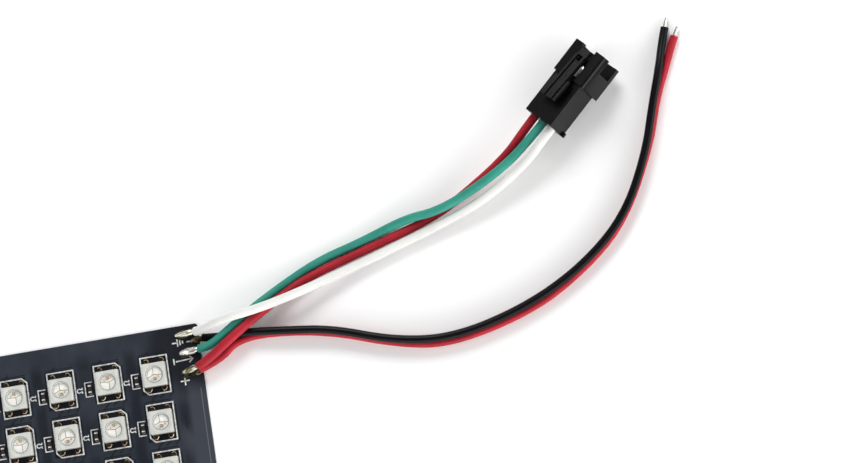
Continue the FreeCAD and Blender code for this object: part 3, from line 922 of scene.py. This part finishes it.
def lump(start, end, wide, high, seed):
    """Build a spindle of solder from the pad's inner end up to the wire's insulation."""
    run = end - start
    axis = Vector((run.x, run.y, 0)).normalized()
    side = Vector((-axis.y, axis.x, 0))

    def build(filled):
        rings = []
        for step in range(LUMP_STEPS + 1):
            share = step / LUMP_STEPS
            swell = math.sin(math.pi * min(1, 0.06 + 0.9 * share)) ** 0.6
            middle = start + run * share
            ring = []
            for k in range(LUMP_SIDES):
                angle = 2 * math.pi * k / LUMP_SIDES
                off = side * math.cos(angle) * wide / 2 + Vector((0, 0, high / 2)) * math.sin(angle)
                waves = noise.noise((middle + off) * 1.3 + Vector((seed, 0, 0)))
                rough = 1 + UNEVENNESS * waves
                spot = middle + off * swell * rough
                spot.z = max(spot.z, BOARD_TOP - SUNK)
                ring.append(spot)
            rings.append(ring)
        loft(filled, rings)
        bmesh.ops.recalc_face_normals(filled, faces=filled.faces)
    return build


def joint_finish(name, light, dark, flux):
    """Solder with painted reflections of light and dark in long soft streaks, and more or less flux
    on it.
    """
    material, place = finish(name, Metallic=0.75)
    drawn_out = place.node(
        "ShaderNodeVectorMath", {"operation": "MULTIPLY"}, {0: place, 1: (0.35, 1, 1)},
    )
    reflection_streak = drawn_out.speckle(0.8, 1, 0.4)
    painted_reflection = reflection_streak.fade(0.4, 0.62).mix(dark, light)
    stain = place.speckle(1.3, 1).fade(flux, flux + 0.2)
    return vary(
        material, Base_Color=(stain * 0.9).mix(painted_reflection, colour(0.11, 0.07, 0.025)),
        Roughness=0.2 * reflection_streak + 0.16, Normal=drawn_out.speckle(1.0, 0).relief(0.1, 0.5),
    )


pale = joint_finish("pale solder", colour(0.9, 0.89, 0.77), colour(0.5, 0.49, 0.38), 0.62)
clean = joint_finish("clean solder", colour(0.92, 0.91, 0.87), colour(0.4, 0.37, 0.29), 0.52)
olive = joint_finish("olive solder", colour(0.82, 0.8, 0.66), colour(0.16, 0.15, 0.09), 0.54)
brown = joint_finish(
    "fluxed solder", colour(0.14, 0.115, 0.06), colour(0.035, 0.028, 0.015), 0.45,
)

# Each joint has its inner end on the pad, its outer end at the wire, its width, height and solder.
JOINTS = {
    "gnd": (at(-4.9, -1.95, 0.5), data_starts["white"] + Vector((0.3, 0, -0.1)), 1.3, 1.2, pale),
    "data": (at(-4.5, -5.8, 0.5), data_starts["green"] + Vector((0.3, 0, 0)), 1.6, 1.4, clean),
    "plus": (at(-4.5, -9.95, 0.5), at(-0.2, -9.2, 2.3), 1.35, 1.2, olive),
    "power_minus": (at(-1.9, -3.6, 0.35), at(1.1, -3.4, 0.85), 1.4, 0.7, brown),
    "power_plus": (at(-1.9, -10.6, 0.4), at(-0.3, -10.0, 1.1), 1.4, 0.8, brown),
}
for number, (word, (start, end, wide, high, material)) in enumerate(JOINTS.items()):
    build = lump(start, end, wide, high, number * 5.0)
    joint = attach(shape("solder_lump_" + word, build, material, 60), "root")
    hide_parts("solder_joint_" + word)


# Each pad has its middle's place and its turn in degrees. Its outline is an oval with full corners.
PADS = ((-2.9, -1.85, 8), (-2.6, -5.75, 10), (-2.5, -10.0, 12))
PAD_LONG, PAD_WIDE, PAD_HIGH = 4.2, 1.8, 0.03
PAD_SIDES = 28
FULLNESS = 0.7
EDGE_GAP = 0.3


def wire_pads(filled):
    """Tinned oval pads that show as a thin border round the solder."""
    for out, down, turn in PADS:
        middle = at(out, down, 0)
        ring = []
        for k in range(PAD_SIDES):
            angle = 2 * math.pi * k / PAD_SIDES
            x, y = (
                long / 2 * math.copysign(abs(share) ** FULLNESS, share)
                for long, share in ((PAD_LONG, math.cos(angle)), (PAD_WIDE, math.sin(angle)))
            )
            spot = Matrix.Rotation(math.radians(turn), 2) @ Vector((x, y))
            ring.append((min(middle.x + spot.x, corner.x - EDGE_GAP), middle.y + spot.y))
        levels = (BOARD_TOP - SUNK, BOARD_TOP + PAD_HIGH)
        loft(filled, [[(*place, z) for place in ring] for z in levels])


tinned_pad, place = finish("fluxed pad", Metallic=0.6)
film = place.speckle(1.0, 3)
vary(
    tinned_pad, Roughness=0.25 * film + 0.25,
    Base_Color=film.fade(0.4, 0.62).mix(colour(0.014, 0.012, 0.01), colour(0.09, 0.075, 0.045)),
)
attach(shape("wire_pads", wire_pads, tinned_pad), "root")


# Connector: one glossy black nylon moulding with a rocking latch lever, its edges just rounded by
# the mould, and three tin-plated pins pressed into it.
EDGE_ROUND = 0.13
MERGE_WITHIN = 0.002


def moulded_copy(node, name, material, edge):
    """A finished copy of a solid: its flat faces made whole and its sharp edges rounded."""
    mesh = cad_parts[node].data.copy()
    mesh.materials.clear()
    mesh.materials.append(material)
    whole = bmesh.new()
    whole.from_mesh(mesh)
    bmesh.ops.remove_doubles(whole, verts=whole.verts, dist=MERGE_WITHIN * MM)
    bmesh.ops.dissolve_limit(
        whole, angle_limit=math.radians(1), use_dissolve_boundaries=False,
        verts=whole.verts, edges=whole.edges,
    )
    whole.to_mesh(mesh)
    whole.free()
    mesh.shade_smooth()
    thing = bpy.data.objects.new(name, mesh)
    bpy.context.scene.collection.objects.link(thing)
    rounding = thing.modifiers.new("rounding", "BEVEL")
    rounding.width = edge * MM
    rounding.segments = 3
    rounding.angle_limit = math.radians(30)
    rounding.use_clamp_overlap = True
    flat = thing.modifiers.new("flat faces", "WEIGHTED_NORMAL")
    flat.mode = "FACE_AREA"
    flat.weight = 100
    flat.keep_sharp = False
    bake(thing)
    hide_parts(node)
    return thing


nylon, place = finish("black nylon", Specular_IOR_Level=0.23)
grain = place.speckle(0.12, 3)
cloud = place.speckle(2.5, 3).fade(0.35, 0.7)
vary(
    nylon, Base_Color=cloud.mix(colour(0.0022, 0.002, 0.0021), colour(0.0036, 0.0033, 0.0035)),
    Roughness=0.12 * grain + 0.2, Normal=grain.relief(0.02, 0.4),
)
connector = moulded_copy("connector_housing", "connector_moulding", nylon, EDGE_ROUND)
plating, place = finish("tin plating", Metallic=1)
scratch = place.speckle(0.8, 1)
vary(
    plating, Roughness=0.2 * scratch + 0.3,
    Base_Color=scratch.fade(0.3, 0.7).mix(colour(0.85, 0.85, 0.82), colour(0.95, 0.95, 0.92)),
)
pins = [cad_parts["contact_pin_" + word] for word in ("gnd", "data", "plus")]
for pin in pins:
    pin.data.materials.clear()
    pin.data.materials.append(plating)
for lead, start, length in data_leads.values():
    start * MM


# Ground and light: a large pale sheet of paper, one broad soft lamp beyond the board and a weak
# one to its left, in a dim room with one bright wall.
GROUND_HALF = 2000
LAMP_FAR, LAMP_WIDE = 1200, 500
DIM, BRIGHT = colour(0.14, 0.14, 0.14), colour(5.3, 5.3, 5.3)

paper, place = finish("pale paper", Specular_IOR_Level=0.1, Roughness=0.9)
pulp = place.speckle(40, 2)
vary(paper, Base_Color=pulp.mix(colour(0.94, 0.94, 0.94), colour(0.95, 0.95, 0.95)))
ground_mesh = bpy.data.meshes.new("ground")
spots = [(GROUND_HALF * MM * right, GROUND_HALF * MM * up, 0) for right, up in CORNERS]
ground_mesh.from_pydata(spots, [], [(0, 1, 2, 3)])
ground_mesh.materials.append(paper)
ground = bpy.data.objects.new("ground", ground_mesh)
bpy.context.scene.collection.objects.link(ground)


def lamp(name, heading, watts):
    """A square area light in a heading from the object, turned towards it."""
    light = bpy.data.lights.new(name, "AREA")
    light.size = LAMP_WIDE * MM
    light.energy = watts
    thing = bpy.data.objects.new(name, light)
    thing.location = looks_at + Vector(heading).normalized() * (LAMP_FAR * MM)
    thing.rotation_euler = Vector(heading).to_track_quat("Z", "Y").to_euler()
    bpy.context.scene.collection.objects.link(thing)


lamp("far lamp", (0.0, 0.75, 0.66), 9.0)
lamp("left lamp", (-0.75, 0.05, 0.66), 2.0)
world = bpy.data.worlds.new("room")
world.use_nodes = True
sky = world.node_tree.nodes["Background"]
heading = Wired(sky.outputs[0]).node("ShaderNodeTexCoord", output="Generated")
height, sideways, onwards = (
    heading.node("ShaderNodeSeparateXYZ", None, {0: heading}, letter) for letter in "ZXY"
)

# The bright wall is at the front right and fades out upwards.
to_window = 0.5 + (sideways * 0.7 - onwards * 0.7) * 0.5
window = height.fade(0.85, 0.1) * to_window.maths("MAXIMUM", to_window, 0.0)
room_light = window.mix(DIM, BRIGHT)
world.node_tree.links.new(room_light.socket, sky.inputs["Color"])
bpy.context.scene.world = world
